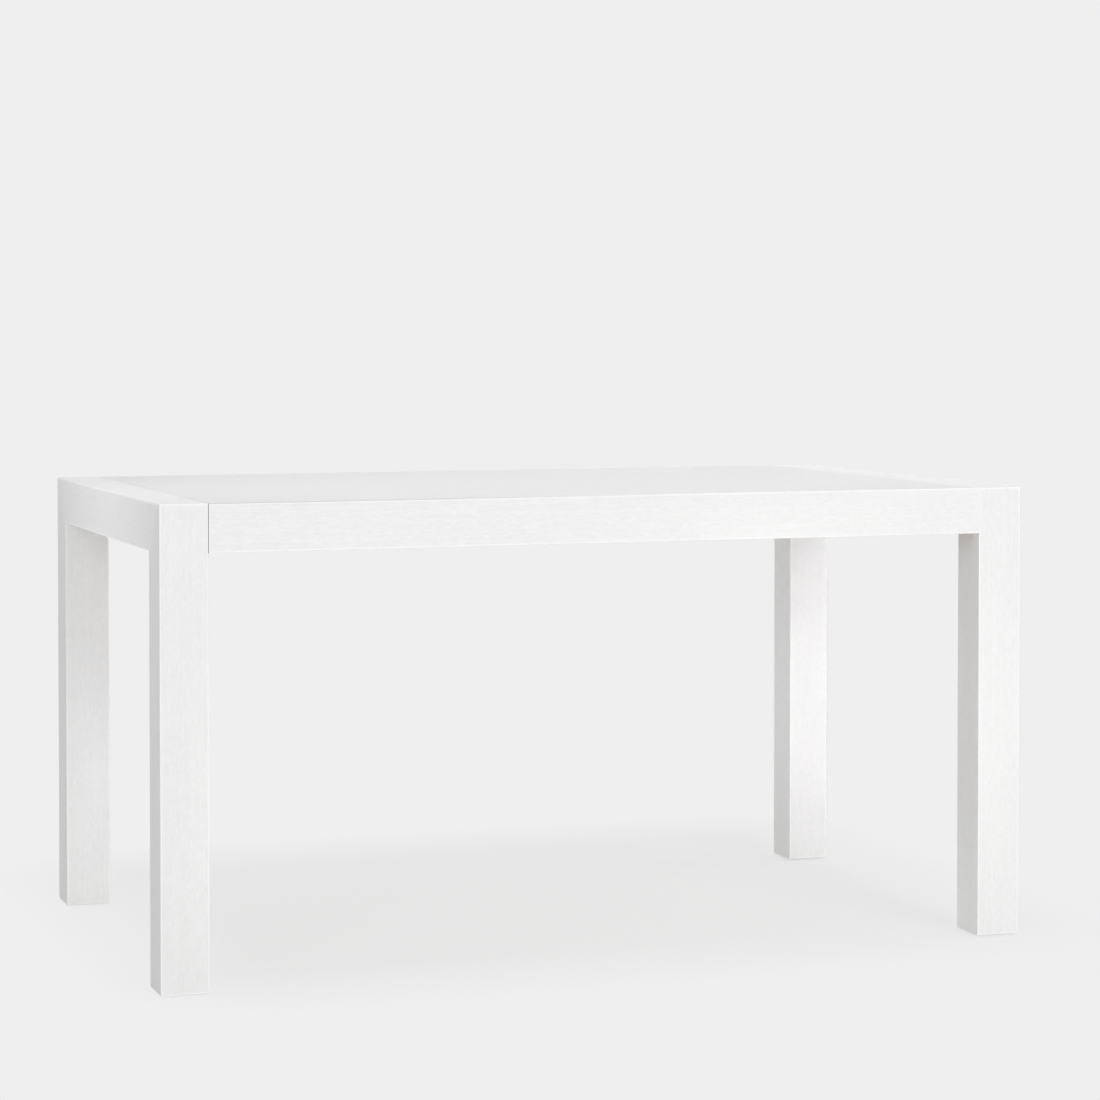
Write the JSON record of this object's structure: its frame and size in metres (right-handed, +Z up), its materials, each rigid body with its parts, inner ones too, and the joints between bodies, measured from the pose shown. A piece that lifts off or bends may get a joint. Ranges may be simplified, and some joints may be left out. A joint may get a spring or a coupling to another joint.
{
  "type": "parsons dining table",
  "caption": "Rectangular dining table with square legs flush with the edges, each as wide as the top is deep; mitred end frames bolted to a centre section.",
  "frame": {"origin": "on the floor, under the middle of the top", "axes": "+X along the table's length to its right-hand end, -Y out of its front, +Z up"},
  "size_m": [1.48, 0.856, 0.762],
  "materials": {
    "white_wood": "white satin lacquer over fine brushed grain",
    "pale_wood": "bare sanded hardwood",
    "plywood": "bare plywood",
    "zinc_steel": "bright zinc plate",
    "brass": "machined",
    "glide_plastic": "moulded, dark grey"
  },
  "bodies": {
    "root": {"leg_front_left": "white_wood", "leg_front_right": "white_wood", "leg_back_left": "white_wood", "leg_back_right": "white_wood", "end_rail_left": "white_wood", "end_rail_right": "white_wood", "top_panel": "white_wood", "apron_front": "white_wood", "apron_back": "white_wood", "cross_rail_left": "pale_wood", "cross_rail_right": "pale_wood", "cross_batten_left": "pale_wood", "cross_batten_centre": "pale_wood", "cross_batten_right": "pale_wood", "corner_block_front_left": "pale_wood", "corner_block_front_right": "pale_wood", "corner_block_back_left": "pale_wood", "corner_block_back_right": "pale_wood", "mitre_dowels": "pale_wood", "frame_dowels": "pale_wood", "tongue_front": "plywood", "tongue_back": "plywood", "frame_bolts": "zinc_steel", "bolt_washers": "zinc_steel", "batten_screws": "zinc_steel", "corner_block_screws": "zinc_steel", "glide_screws": "zinc_steel", "threaded_inserts": "brass", "foot_glide_front_left": "glide_plastic", "foot_glide_front_right": "glide_plastic", "foot_glide_back_left": "glide_plastic", "foot_glide_back_right": "glide_plastic"}
  },
  "joints": []
}
